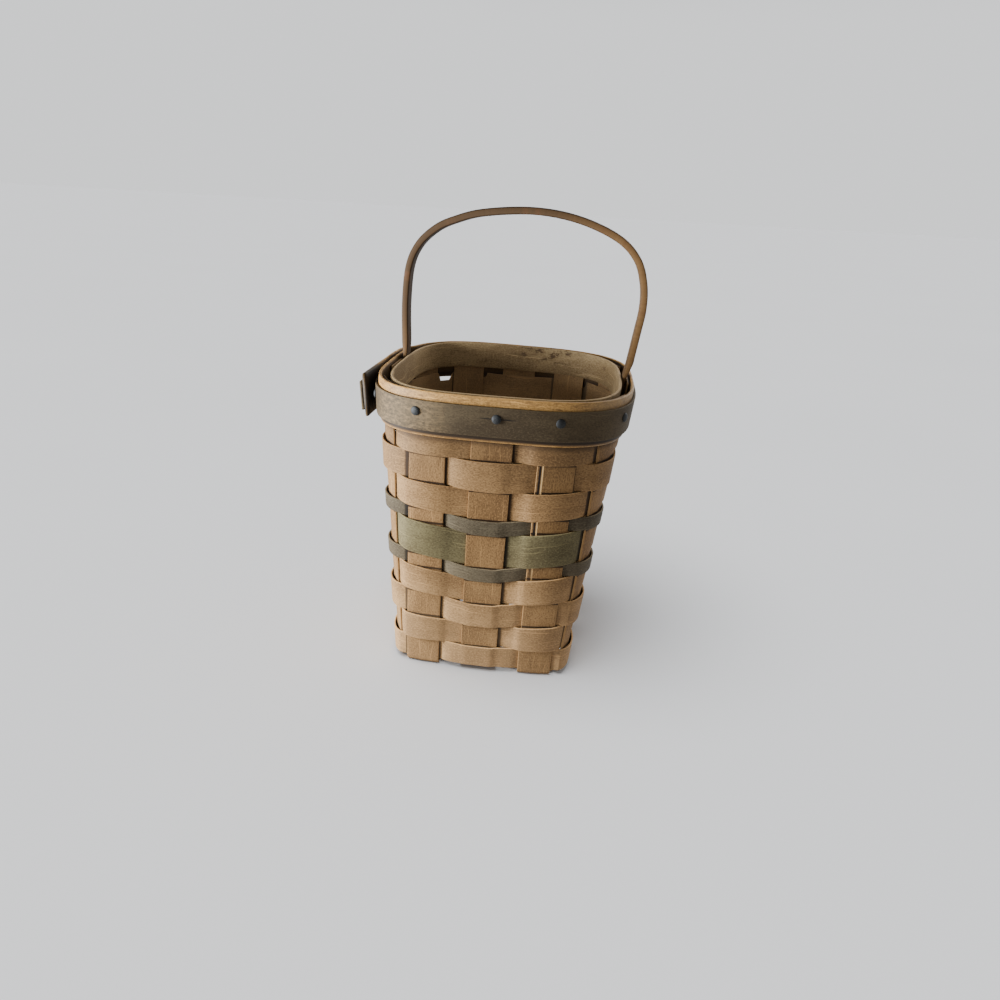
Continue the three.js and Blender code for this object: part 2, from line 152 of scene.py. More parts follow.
# Sides in turn: front, right, back and left
ALONG = np.array([[1, 0, 0], [0, 1, 0], [-1, 0, 0], [0, -1, 0]], float)
OUT = np.array([[0, -1, 0], [1, 0, 0], [0, 1, 0], [-1, 0, 0]], float)
FRONT, RIGHT, BACK, LEFT = range(4)
QUARTER = math.pi / 2
FULL_TURN = 4 * QUARTER
STAKES_PER_SIDE = 3
STAKES_ROUND = 4 * STAKES_PER_SIDE
TINY = 1e-12

# Where a row is set in the gap after a stake, as shares of the gap: round a corner, and elsewhere
CORNER_SHARES = (0.25, 0.5, 0.75)
GAP_SHARES = (0.5,)
# How strong the painted shadow is on a row in the last part of a corner's gap
CORNER_SHADOW = 0.9

# The stakes' families: the side that each goes up first, and its stakes in turn
STAKE_FAMILIES = (
    (FRONT, "front_to_back", ("left", "centre", "right")),
    (RIGHT, "side_to_side", ("front", "centre", "back")),
)

# Each splint's own number, which its grain and its wander start from
ROW_SEED = 1.0
STAKE_SEED = 20.0
INNER_BAND_SEED = 31.0
OUTER_BAND_SEED = 32.0
TRIM_SEED = 33.0
HANDLE_SEED = 34.0

# How a splint's faces ripple and its edges wander, and how its ends and its seam are closed
RIPPLE_ACROSS = 0.6
EDGE_PACE = 1.7
EDGE_APART = 3.0
EDGE_SEED = 7.3
EDGE_WANDER = 1.5
END_PINCH = 1e-3
SEAM_FADE = 0.25
WELD = 0.002

# The tacks' heads: how finely each is drawn, and how far it leans and turns at random, in radians
TACK_SEGMENTS = 20
TACK_RINGS = 12
TACK_LEAN = 0.1
TACK_TURN = 3.0
TACK_SEED = 5

# The hoop's middle line, as shares of the span between its legs and of its rise
HOOP_LINE = (
    (0.0, 0.1), (0.0, 0.37), (0.016, 0.61), (0.058, 0.755), (0.128, 0.858),
    (0.205, 0.918), (0.33, 0.974), (0.53, 1.0), (0.71, 0.965), (0.87, 0.87),
    (0.955, 0.75), (0.992, 0.6), (1.0, 0.45), (0.99, 0.3), (0.975, 0.1),
)
HOOP_RISE = 76.7
LEG_SWELL = 5.0

# The split in the right front stake: the stake's own number, then millimetres down from its top and across
# from its middle, and the pale sliver beside it
SPLIT_STAKE = STAKE_SEED + 2
SPLIT_MIDDLE = 48.0
SPLIT_REACH = 60.0
SPLIT_ACROSS = -7.5
SPLIT_HALF = 0.75
SLIVER_OFF = 1.2
SLIVER_HALF = 0.5

# The weave is painted lighter and lighter below one height, as light thrown up from the floor, and painted
# darker above another up to the rim's band, as shade under the rim; its inner faces are painted paler, as
# light inside; and a painted shadow lies in a line outside, from one distance under the outer band to
# another
LOW_LIGHT_BELOW = 85.0
TOP_SHADE_FROM = 100.0
TOP_SHADE = 0.25
INSIDE_PALER = 0.8
BAND_LINE_FROM = 4.0
BAND_LINE_FULL = 0.5

# Marks on the rim, in millimetres along its strips, and on the handle, as shares of its length
BAND_GREY_AT = 200.0
BAND_GREY_REACH = 36.0
# The free end's painted shade starts this far before its end and is full from the next
FREE_END_DARK_FROM = 34.0
FREE_END_DARK_FULL = 12.0
INNER_STAIN_AT = 182.0
INNER_STAIN_REACH = 26.0
# A painted highlight near the trim's front left corner
TRIM_HIGHLIGHT_AT = 94.0
TRIM_HIGHLIGHT_REACH = 26.0
TRIM_SPLIT_HALF = 0.35
TRIM_SPLIT_REACH = 11.0
# Painted shade on the handle from its left leg over its crest: its middle and its reach
CREST_SHADE_AT = 0.34
CREST_SHADE_REACH = 0.4

# A mark is full over this share of its reach
MARK_FULL = 0.4

# How deep each finish's relief is, in millimetres
SPLINT_RELIEF = 0.12
TACK_RELIEF = 0.15
FLOOR_RELIEF = 0.01

# Steps that the fine shapes are drawn with
ROW_STEPS = 10
EASE_STEPS = 7
STAKE_STEPS = 240
BEND_STEPS = 9
BASE_STEPS = 8
BAND_STEPS = 60
RAMP_STEPS = 16
TAIL_STEPS = 6
HOOP_STEPS = 12

# Studio: a near window on the left and a weak far light behind fall on the basket alone, a ceiling light on
# the floor alone, and the room is pale low down. Each light has a name, its azimuth, elevation and width in
# degrees, a strength, a tint and, if it is near, a distance
FLOOR_REACH = 60.0
WINDOWS = (
    ("window_light", -63.0, 18.0, 26.0, 17.0, (0.95, 1.0, 1.05), 310.0),
    ("back_light", 145.0, 35.0, 60.0, 3.0, (1.0, 0.98, 0.95)),
)
WINDOW_AIM = 45.0
CEILING = ("ceiling_light", -50.0, 68.0, 50.0, 3.75, (1.0, 1.0, 1.0))
ROOM_TINT = (0.97, 0.985, 1.0)
ROOM_PALE = 1.12
ROOM_DIM = 0.4
PALE_UP_TO = 0.2
DIM_FROM = 0.42


# Node trees

class Wire:
    """One output of a node. Arithmetic on it adds Math nodes to the same tree."""

    def __init__(self, socket):
        self.socket = socket

    @staticmethod
    def add(tree, kind, settings=None, inputs=None, output=0):
        """Adds a node of any kind, with its settings first and then its inputs' values or links."""
        node = tree.nodes.new(kind)
        for name, setting in (settings or {}).items():
            setattr(node, name, setting)
        for name, value in (inputs or {}).items():
            if isinstance(value, Wire):
                tree.links.new(value.socket, node.inputs[name])
            else:
                node.inputs[name].default_value = value
        return Wire(node.outputs[output])

    def other(self, kind, settings=None, inputs=None, output=0):
        return Wire.add(self.socket.id_data, kind, settings, inputs, output)

    def math(self, operation, *operands):
        inputs = dict(enumerate(operands))
        return self.other("ShaderNodeMath", {"operation": operation}, inputs)

    def __add__(self, value):
        return self.math("ADD", self, value)

    __radd__ = __add__

    def __sub__(self, value):
        return self.math("SUBTRACT", self, value)

    def __rsub__(self, value):
        return self.math("SUBTRACT", value, self)

    def __mul__(self, value):
        return self.math("MULTIPLY", self, value)

    __rmul__ = __mul__

    def __truediv__(self, value):
        return self.math("DIVIDE", self, value)

    def __rtruediv__(self, value):
        return self.math("DIVIDE", value, self)

    def __pow__(self, value):
        return self.math("POWER", self, value)

    def __abs__(self):
        return self.math("ABSOLUTE", self)

    def floor(self):
        return self.math("FLOOR", self)

    def sign(self):
        return self.math("SIGN", self)

    def cos(self):
        return self.math("COSINE", self)

    def sin(self):
        return self.math("SINE", self)

    def rise(self, low, high):
        """0 below low, 1 above high and smooth between."""
        inputs = {"Value": self, "From Min": low, "From Max": high}
        return self.other("ShaderNodeMapRange", {"interpolation_type": "SMOOTHSTEP"}, inputs)

    def vector_math(self, operation, value):
        settings = {"operation": operation}
        name = "Scale" if operation == "SCALE" else 1
        return self.other("ShaderNodeVectorMath", settings, {0: self, name: value})

    def part(self, index):
        return self.other("ShaderNodeSeparateXYZ", None, {0: self}, index)

    def paint(self, colour, amount):
        """Mixes this colour towards another by an amount."""
        return self.other("ShaderNodeMix", {"data_type": "RGBA"}, {0: amount, 6: self, 7: colour}, 2)

    def noise(self, detail, roughness=0.5):
        inputs = {"Vector": self, "Scale": 1.0, "Detail": detail, "Roughness": roughness}
        return self.other("ShaderNodeTexNoise", None, inputs)


def joined(x, y, z):
    """A vector of three values, of which the first is a wire."""
    return x.other("ShaderNodeCombineXYZ", None, {0: x, 1: y, 2: z})


def new_tree(name, inputs):
    """A Geometry Nodes tree with a mesh in and out, and its named inputs as wires."""
    tree = bpy.data.node_groups.new(name, "GeometryNodeTree")
    tree.interface.new_socket("Geometry", in_out="INPUT", socket_type="NodeSocketGeometry")
    tree.interface.new_socket("Geometry", in_out="OUTPUT", socket_type="NodeSocketGeometry")
    for label, kind in inputs.items():
        tree.interface.new_socket(label, in_out="INPUT", socket_type=kind)
    entry = tree.nodes.new("NodeGroupInput")
    return tree, {socket.name: Wire(socket) for socket in entry.outputs if socket.name}


def close_tree(tree, geometry, material):
    """Ends a tree: smooth, in its material and with no instances left."""
    smooth = Wire.add(tree, "GeometryNodeSetShadeSmooth", None, {"Geometry": geometry})
    painted = Wire.add(tree, "GeometryNodeSetMaterial", None, {"Geometry": smooth, "Material": material})
    real = Wire.add(tree, "GeometryNodeRealizeInstances", None, {"Geometry": painted})
    leave = tree.nodes.new("NodeGroupOutput")
    tree.links.new(real.socket, leave.inputs[0])


def splint_tree():
    """Sweeps a flat splint with rounded edges along a path, by the half width and thickness it carries."""
    tree, given = new_tree("splint_along_path", {
        "Squareness": "NodeSocketFloat",
        "Section Points": "NodeSocketInt",
        "Wander": "NodeSocketFloat",
        "Wander Length": "NodeSocketFloat",
        "Seed": "NodeSocketFloat",
        "Material": "NodeSocketMaterial",
    })
    path = given["Geometry"]
    section = given["Section Points"]
    count = Wire.add(tree, "GeometryNodeAttributeDomainSize", None, {"Geometry": path})
    grid = Wire.add(tree, "GeometryNodeMeshGrid", None, {"Vertices X": count, "Vertices Y": section})
    index = Wire.add(tree, "GeometryNodeInputIndex")
    step = ((index + 0.5) / section).floor()
    angle = (index - step * section) / (section - 1) * (2 * math.pi)

    def on_path(attribute, kind="FLOAT_VECTOR"):
        value = Wire.add(tree, "GeometryNodeInputNamedAttribute", {"data_type": kind}, {"Name": attribute})
        return Wire.add(tree, "GeometryNodeSampleIndex", {"data_type": kind},
                        {"Geometry": path, "Value": value, "Index": step})

    power = 2 / given["Squareness"]
    side = angle.cos().sign() * abs(angle.cos()) ** power
    face = angle.sin().sign() * abs(angle.sin()) ** power
    across = on_path("across")
    outwards = on_path("outwards")
    place = on_path("position")
    length = on_path("length", "FLOAT")
    width = Wire.add(tree, "ShaderNodeVectorMath", {"operation": "LENGTH"}, {0: across}, 1)
    unit_out = Wire.add(tree, "ShaderNodeVectorMath", {"operation": "NORMALIZE"}, {0: outwards})
    unit_across = Wire.add(tree, "ShaderNodeVectorMath", {"operation": "NORMALIZE"}, {0: across})

    # A splint is never quite even: its faces ripple and its edges wander
    ripple_at = joined(length / given["Wander Length"], side * RIPPLE_ACROSS, given["Seed"])
    ripple = (ripple_at.noise(2.0) - 0.5) * given["Wander"]
    pace = length / given["Wander Length"] * EDGE_PACE
    edge_at = joined(pace, side.sign() * EDGE_APART, given["Seed"] + EDGE_SEED)
    edge = (edge_at.noise(3.0) - 0.5) * given["Wander"] * side * EDGE_WANDER
    position = place.vector_math("ADD", across.vector_math("SCALE", side))
    position = position.vector_math("ADD", outwards.vector_math("SCALE", face))
    position = position.vector_math("ADD", on_path("bow").vector_math("SCALE", 1 - side * side))
    still = on_path("swell", "FLOAT")
    position = position.vector_math("ADD", unit_out.vector_math("SCALE", ripple * still))
    position = position.vector_math("ADD", unit_across.vector_math("SCALE", edge * still))

    shaped = Wire.add(tree, "GeometryNodeSetPosition", None, {"Geometry": grid, "Position": position})
    # The stain attribute carries painted shadow, beside stakes on rows and under rows' edges on stakes, on
    # the face it falls on
    for name, value in (
        ("grain_at", joined(length, side * width, given["Seed"])),
        ("splint", joined(side, face, given["Seed"])),
        ("stain", joined(on_path("painted_shadow", "FLOAT") * face.sign(), 0.0, 0.0)),
    ):
        shaped = Wire.add(tree, "GeometryNodeStoreNamedAttribute", {"data_type": "FLOAT_VECTOR"},
                          {"Geometry": shaped, "Name": name, "Value": value})
    kept = Wire.add(tree, "GeometryNodeInputNamedAttribute", {"data_type": "FLOAT_VECTOR"},
                    {"Name": "grain_at"})
    shaped = Wire.add(tree, "GeometryNodeStoreNamedAttribute", {"data_type": "FLOAT2", "domain": "CORNER"},
                      {"Geometry": shaped, "Name": "grain", "Value": kept})
    shaped = Wire.add(tree, "GeometryNodeRemoveAttribute", None, {"Geometry": shaped, "Name": "grain_at"})
    welded = Wire.add(tree, "GeometryNodeMergeByDistance", None,
                      {"Geometry": shaped, "Distance": WELD * MM})
    close_tree(tree, welded, given["Material"])
    return tree


def tack_tree():
    """Puts a low domed tack head at each point, along the point's own axis and turned at random."""
    tree, given = new_tree("tacks_at_points", {
        "Head Radius": "NodeSocketFloat",
        "Head Height": "NodeSocketFloat",
        "Seed": "NodeSocketInt",
        "Material": "NodeSocketMaterial",
    })
    radius = given["Head Radius"]
    height = given["Head Height"]
    dome = Wire.add(tree, "GeometryNodeMeshUVSphere", None,
                    {"Segments": TACK_SEGMENTS, "Rings": TACK_RINGS, "Radius": radius})
    flat = height.other("ShaderNodeCombineXYZ", None, {0: 1.0, 1: 1.0, 2: height / radius})
    dome = Wire.add(tree, "GeometryNodeTransform", None, {"Geometry": dome, "Scale": flat})
    axis = Wire.add(tree, "GeometryNodeInputNamedAttribute", {"data_type": "FLOAT_VECTOR"},
                    {"Name": "axis"})
    turn = Wire.add(tree, "FunctionNodeAlignRotationToVector", {"axis": "Z"}, {"Vector": axis})
    least = (-TACK_LEAN, -TACK_LEAN, -TACK_TURN)
    most = (TACK_LEAN, TACK_LEAN, TACK_TURN)
    lean = Wire.add(tree, "FunctionNodeRandomValue", {"data_type": "FLOAT_VECTOR"},
                    {"Min": least, "Max": most, "Seed": given["Seed"]})
    turn = Wire.add(tree, "FunctionNodeRotateRotation", {"rotation_space": "LOCAL"},
                    {"Rotation": turn, "Rotate By": lean})
    placed = Wire.add(tree, "GeometryNodeInstanceOnPoints", None,
                      {"Points": given["Geometry"], "Instance": dome, "Rotation": turn})
    close_tree(tree, placed, given["Material"])
    return tree


# Shapes

def wall_size(z):
    rise = np.maximum(z, 0) / RIM_TOP
    half = BASE_HALF + WALL_FLARE * rise
    squareness = BASE_SQUARENESS + (RIM_SQUARENESS - BASE_SQUARENESS) * np.sqrt(rise)
    return half, squareness, WALL_LEAN * rise


def wall_point(turn, z):
    """The middle of the wall at each turn round the basket and height, and the way out of it."""
    turn, z = np.broadcast_arrays(np.asarray(turn, float), np.asarray(z, float))
    half, squareness, shift = wall_size(z)
    side = np.round(turn / QUARTER).astype(int)
    swing = turn - side * QUARTER
    along = half * np.sign(swing) * np.abs(np.sin(swing)) ** (2 / squareness)
    depth = half * np.cos(swing) ** (2 / squareness)
    along_way, out_way = ALONG[side % 4], OUT[side % 4]
    point = along[..., None] * along_way + depth[..., None] * out_way
    point[..., 0] += shift
    point[..., 2] += z
    slope = np.sign(swing) * np.abs(along / depth) ** (squareness - 1)
    normal = out_way + slope[..., None] * along_way
    return point, normal / np.linalg.norm(normal, axis=-1, keepdims=True)


def turn_at(side, along, z):
    """The turn at which the wall reaches a distance along a side."""
    half, squareness, _ = wall_size(z)
    return side * QUARTER + np.sign(along) * np.arcsin(np.abs(along / half) ** (squareness / 2))


def stake_middle(side, stake, z):
    spacing = FRONT_SPACING if side % 2 == 0 else SIDE_SPACING + SIDE_SPLAY * np.maximum(z, 0) / RIM_TOP
    return (stake - 1) * spacing


def sagged(turn, z):
    """Rows hang lowest at the middle of each side and climb to the corners."""
    point, _ = wall_point(turn, z)
    x = point[..., 0] - wall_size(z)[2]
    y = point[..., 1]
    corner = 8 * x * x * y * y / (x * x + y * y) ** 2
    fullness = np.sin(math.pi * np.clip(z / BAND_LOW, 0, 1)) ** SAG_FOCUS
    return z - WEAVER_SAG * fullness * (1 - corner)


def smooth_through(values, steps):
    """A smooth run through values that never overshoots them, with a number of steps between each two."""
    values = np.asarray(values, float)
    gaps = np.diff(values, axis=0)
    before, after = gaps[:-1], gaps[1:]
    total = before + after
    safe = np.where(np.abs(total) > TINY, total, 1.0)
    slope = np.where(before * after > 0, 2 * before * after / safe, 0.0)
    slope = np.concatenate([gaps[:1], slope, gaps[-1:]])
    start, end = values[:-1, None], values[1:, None]
    slope_start, slope_end = slope[:-1, None], slope[1:, None]
    t = (np.arange(steps) / steps).reshape((1, -1) + (1,) * (values.ndim - 1))
    run = ((1 + 2 * t) * (1 - t) ** 2 * start + t * (1 - t) ** 2 * slope_start
           + t * t * (3 - 2 * t) * end + t * t * (t - 1) * slope_end)
    return np.concatenate([run.reshape((-1,) + values.shape[1:]), values[-1:]])


def make_mesh(name, points, attributes):
    """A mesh of points joined in a line, with named values at each."""
    mesh = bpy.data.meshes.new(name)
    edges = [(i, i + 1) for i in range(len(points) - 1)]
    mesh.from_pydata([tuple(p) for p in np.asarray(points, float)], edges, [])
    for label, values in attributes.items():
        values = np.asarray(values, float)
        kind, field = ("FLOAT_VECTOR", "vector") if values.ndim == 2 else ("FLOAT", "value")
        mesh.attributes.new(label, kind, "POINT").data.foreach_set(field, values.ravel())
    return mesh


def grow(name, mesh, tree, inputs):
    """Runs a tree on a mesh and keeps the result as a plain object."""
    piece = bpy.data.objects.new(name, mesh)
    bpy.context.scene.collection.objects.link(piece)
    modifier = piece.modifiers.new("shape", "NODES")
    modifier.node_group = tree
    for socket in tree.interface.items_tree:
        if socket.in_out == "INPUT" and socket.name in inputs:
            modifier[socket.identifier] = inputs[socket.name]
    evaluated = piece.evaluated_get(bpy.context.evaluated_depsgraph_get())
    plain = bpy.data.meshes.new_from_object(evaluated)
    piece.modifiers.remove(modifier)
    piece.data = plain
    plain.name = name
    face_out(plain)
    return piece


def face_out(mesh):
    shape = bmesh.new()
    shape.from_mesh(mesh)
    bmesh.ops.recalc_face_normals(shape, faces=shape.faces)
    shape.to_mesh(mesh)
    shape.free()


def splint(name, middle, across, outwards, finish, closed, bow=None, painted_shadow=None, squareness=20.0,
           section=33, wander=0.25, wander_length=26.0, seed=0.0):
    """A splint along a path, in millimetres: across reaches to its edge and outwards to its face."""
    middle, across, outwards = (np.asarray(v, float) for v in (middle, across, outwards))
    bow = np.zeros_like(middle) if bow is None else np.asarray(bow, float)
    painted_shadow = np.zeros(len(middle)) if painted_shadow is None else np.asarray(painted_shadow, float)
    swell = np.ones(len(middle))
    length = np.concatenate([[0], np.cumsum(np.linalg.norm(np.diff(middle, axis=0), axis=1))])
    if not closed:
        ends = [0] + list(range(len(middle))) + [len(middle) - 1]
        middle, across, outwards, bow = (v[ends] for v in (middle, across, outwards, bow))
        length, painted_shadow, swell = (v[ends] for v in (length, painted_shadow, swell))
        across[[0, -1]] *= END_PINCH
        outwards[[0, -1]] *= END_PINCH
        bow[[0, -1]] *= 0
        swell[[0, 1, -2, -1]] = 0
    else:
        swell = np.sin(math.pi * np.clip(length / length[-1], 0, 1)) ** SEAM_FADE
    path = make_mesh(name, middle * MM, {
        "across": across * MM,
        "outwards": outwards * MM,
        "bow": bow * MM,
        "length": length * MM,
        "swell": swell,
        "painted_shadow": painted_shadow,
    })
    return grow(name, path, SPLINT_TREE, {
        "Squareness": squareness,
        "Section Points": section,
        "Wander": wander * MM,
        "Wander Length": wander_length * MM,
        "Seed": seed,
        "Material": finish,
    })


def wall_stations():
    """Where a weaver's run is set: each stake's edges and middle, and the gaps between."""
    stations = []
    for count in range(STAKES_ROUND):
        stations += [(count, across, 0.0) for across in (-1, 0, 1)]
        at_corner = count % STAKES_PER_SIDE == STAKES_PER_SIDE - 1
        stations += [(count, 1, share) for share in (CORNER_SHARES if at_corner else GAP_SHARES)]
    return stations


def lift_at(station, over_even):
    """How far a row's middle stands out from the wall at a station."""
    count, across, share = station
    passes_over = (count % 2 == 0) == over_even
    here, following = (LIFTS_OVER, LIFTS_BEHIND) if passes_over else (LIFTS_BEHIND, LIFTS_OVER)
    return here[across + 1] + (following[0] - here[across + 1]) * share


def station_turn(station, z):
    count, across, share = station
    start = stake_turn(count, across, z)
    if share == 0:
        return start
    following = (count + 1) % STAKES_ROUND
    end = stake_turn(following, -1, z) + (FULL_TURN if following == 0 else 0)
    return start + (end - start) * share


def stake_turn(count, across, z):
    side, stake = divmod(count, STAKES_PER_SIDE)
    return turn_at(side, stake_middle(side, stake, z) + across * STAKE_WIDTHS[stake] / 2, z)


def ring_through(values, rise):
    """A dense closed run through one value at each station; rise is what the value gains in a full turn."""
    values = np.asarray(values, float)
    wide = np.concatenate([values[-2:] - rise, values, values[:3] + rise])
    dense = smooth_through(wide, ROW_STEPS)
    return dense[2 * ROW_STEPS:(2 + len(values)) * ROW_STEPS + 1]


def woven_row(i):
    """One row: its lower and upper edges follow the wall, in front of every other stake."""
    low = ROW_LOWS[i]
    stations = wall_stations()
    over_even = i % 2 == 1
    lifts = [lift_at(station, over_even) for station in stations]
    lift = eased(ring_through(lifts, 0), EASE_STEPS)
    painted_shadow = ring_through([painted_shadow_at(*pair) for pair in zip(stations, lifts)], 0)
    seam_stake = 1 if over_even else 2
    seam = ROW_STEPS * [station[:2] for station in stations].index((seam_stake, 0))
    edges = []
    for z in (low, low + ROW_WIDTHS[i]):
        levels = [float(sagged(station_turn(station, z), z)) for station in stations]
        turns = [station_turn(station, level) for station, level in zip(stations, levels)]
        heights = ring_through(levels, 0)
        if i == TOP_ROW and z > low:
            heights = heights + ring_through([tuck(*pair) for pair in zip(stations, lifts)], 0)
        point, normal = wall_point(ring_through(turns, FULL_TURN), heights)
        edges.append(begun_at(seam, point + normal * lift[:, None]))
    return flat_strip(edges[0], edges[1], WEAVER_THICKNESS), begun_at(seam, painted_shadow)


def eased(ring, reach):
    """A closed ring of values, with its kinks eased over a number of points each way."""
    bell = np.cos(np.linspace(-QUARTER, QUARTER, 2 * reach + 1)) ** 2
    wide = np.concatenate([ring[-reach - 1:-1], ring, ring[1:reach + 1]])
    return np.convolve(wide, bell / bell.sum(), "valid")


def begun_at(start, ring):
    """The same closed ring, begun at another of its points."""
    return np.concatenate([ring[start:-1], ring[:start + 1]])


def painted_shadow_at(station, lift):
    """How much painted shadow a row has where it leaves a stake and where it meets the first stake past a
    corner.

    Above 0 the painted shadow is on its outer face, and below 0 on its inner one.
    """
    count, across, share = station
    at_edge = across == 1 and share == 0
    after_corner = across == -1 and count % STAKES_PER_SIDE == 0
    before_that = count % STAKES_PER_SIDE == STAKES_PER_SIDE - 1 and share == CORNER_SHARES[-1]
    return -np.sign(lift) * (1.0 if at_edge or after_corner else CORNER_SHADOW if before_that else 0.0)


def tuck(station, lift):
    """How far the top row's upper edge reaches up behind the rim at a station."""
    count, across, share = station
    if count == DAYLIGHT_GAP and share > 0:
        return 0.0
    under_band = across == 0 and lift > 0
    rise = rim_rise(wall_point(station_turn(station, BAND_LOW), BAND_LOW)[0])
    return float(rise) if under_band else TOP_ROW_TUCK


def flat_strip(low, high, thickness, closed=True):
    """Middle, half width and half thickness of a strip between two edges."""
    middle = (low + high) / 2
    across = (high - low) / 2
    around = np.concatenate([middle[-2:-1], middle, middle[1:2]]) if closed else middle
    along = np.gradient(around, axis=0)
    if closed:
        along = along[1:-1]
    face = np.cross(along, across)
    face /= np.linalg.norm(face, axis=1, keepdims=True)
    return middle, across, face * thickness / 2


def stake_run(up_side, stake):
    """Left edge, middle and right edge of a stake, from one wall's top under the base to the other's."""
    down_side = (up_side + 2) % 4
    first_low = (up_side + stake) % 2 == 0
    levels = [LOW_LEVEL if (crossing % 2 == 0) == first_low else HIGH_LEVEL
              for crossing in range(STAKES_PER_SIDE)]
    bend_top = levels[0] + BEND_RADIUS
    half = STAKE_WIDTHS[stake] / 2
    lines = []
    for across in (-1, 0, 1):
        walls = []
        for side, mirror in ((up_side, 1), (down_side, -1)):
            z = np.linspace(STAKE_TOP, bend_top, STAKE_STEPS)
            along = mirror * (stake_middle(up_side, stake, z) + across * half)
            point, normal = wall_point(turn_at(side, along, z), z)
            loose = np.clip((z - bend_top) / TWIST_FADE, 0, 1) * np.clip((BAND_LOW - z) / TWIST_FADE, 0, 1)
            point = point + normal * loose[:, None] * STAKE_TWIST[1 + across * mirror]
            angle = np.linspace(0, QUARTER, BEND_STEPS)[1:, None]
            way = normal[-1] * np.cos(angle) + np.array([0, 0, -1]) * np.sin(angle)
            bend = point[-1] + (way - normal[-1]) * BEND_RADIUS
            walls.append(np.concatenate([point, bend]))
        middle = stake_middle(up_side, stake, 0) + across * half
        base = []
        for crossing, level in enumerate(levels):
            crossed = -stake_middle((up_side + 1) % 2, crossing, 0)
            for edge in (STAKE_WIDTHS[crossing] / 2, -STAKE_WIDTHS[crossing] / 2):
                on_base = ALONG[up_side] * middle + OUT[up_side] * (crossed + edge)
                base.append(on_base + np.array([0, 0, level]))
        whole = [walls[0][-1]] + base + [walls[1][-1]]
        under = smooth_through(np.array(whole), BASE_STEPS)
        lines.append(np.concatenate([walls[0][:-1], under, walls[1][:-1][::-1]]))
    return lines


def stake_strip(up_side, stake):
    left, centre, right = stake_run(up_side, stake)
    middle, across, outwards = flat_strip(left, right, STAKE_THICKNESS, closed=False)
    return middle, across, outwards, centre - middle


def row_shade(up_side, stake, middle):
    """Painted shadow: 1 on a stake at a row's lower edge, and less further from it, with a shorter trace
    above.
    """
    turn = turn_at(up_side, stake_middle(up_side, stake, middle[:, 2]), middle[:, 2])
    edges = np.array([sagged(turn, np.full(len(turn), low)) for low in ROW_LOWS[1:]])
    below = edges - middle[:, 2]
    away = np.maximum(below, -SHADE_SHORTER * below).min(axis=0)
    return np.clip(SHADE_START - away / SHADE_REACH, 0, 1)


def side_places(side, low_share, high_share, count):
    """Places along a side as shares of the way from its middle to its corners."""
    return [(side, share) for share in np.linspace(low_share, high_share, count)]


def corner_along(z):
    half, squareness, _ = wall_size(z)
    return half * 0.5 ** (1 / squareness)


def ring_edge(places, z, offset):
    """Points round the wall at one height, pushed out by an offset that may depend on the way out."""
    turns = np.array([turn_at(side, share * corner_along(z), z) for side, share in places])
    point, normal = wall_point(turns, np.full(len(turns), z))
    point[:, 2] += rim_rise(point)
    return point + normal * np.atleast_1d(offset(normal))[:, None]


def rim_rise(point):
    """How far the rim stands above level at a place."""
    back = np.clip((point[..., 1] / RIM_REACH + 1) / 2, 0, 1)
    left = np.clip((1 - point[..., 0] / RIM_REACH) / 2, 0, 1)
    return back ** 2 * (BACK_RIGHT_RISE + (BACK_LEFT_RISE - BACK_RIGHT_RISE) * left)


def inner_band_face(normal):
    return FRONT_INNER_FACE + (SIDE_INNER_FACE - FRONT_INNER_FACE) * normal[:, 0] ** 2


def inner_band():
    places = side_places(FRONT, 0, 1, BAND_STEPS // 2)[:-1]
    for side in (RIGHT, BACK, LEFT):
        places += side_places(side, -1, 1, BAND_STEPS)[:-1]
    places += side_places(FRONT + 4, -1, 0, BAND_STEPS // 2)

    def offset(normal):
        return inner_band_face(normal) - INNER_BAND_THICKNESS / 2

    low = ring_edge(places, INNER_LOW, offset)
    high = ring_edge(places, RIM_TOP, offset)
    return flat_strip(low, high, INNER_BAND_THICKNESS)


def lapped_band(low, high, face, thickness):
    """A band that starts on the left, goes once round and climbs onto its beginning, to a free end."""
    half_way = corner_along((low + high) / 2)
    start = -LAP_START / half_way
    ramp = -(LAP_START + LAP_RAMP) / half_way
    places = side_places(LEFT, start, 1, BAND_STEPS)[:-1]
    for side in (4 + FRONT, 4 + RIGHT, 4 + BACK):
        places += side_places(side, -1, 1, BAND_STEPS)[:-1]
    places += side_places(4 + LEFT, -1, ramp, RAMP_STEPS)[:-1]
    flat_count = len(places)
    places += side_places(4 + LEFT, ramp, start, RAMP_STEPS)[:-1]
    climb_count = len(places) - flat_count
    places += side_places(4 + LEFT, start, 0, RAMP_STEPS)
    climb = np.linspace(0, 1, climb_count)
    lap = np.concatenate([np.zeros(flat_count), climb * climb * (3 - 2 * climb),
                          np.ones(len(places) - flat_count - climb_count)])
    edges = []
    for z in (low, high):
        edge = ring_edge(places, z, lambda normal: face + thickness / 2 + lap * LAP_STEP)
        free = np.linspace(0, LAP_END, RAMP_STEPS)[1:, None] * ALONG[LEFT]
        edges.append(np.concatenate([edge, edge[-1] + free]))
    return flat_strip(edges[0], edges[1], thickness, closed=False)


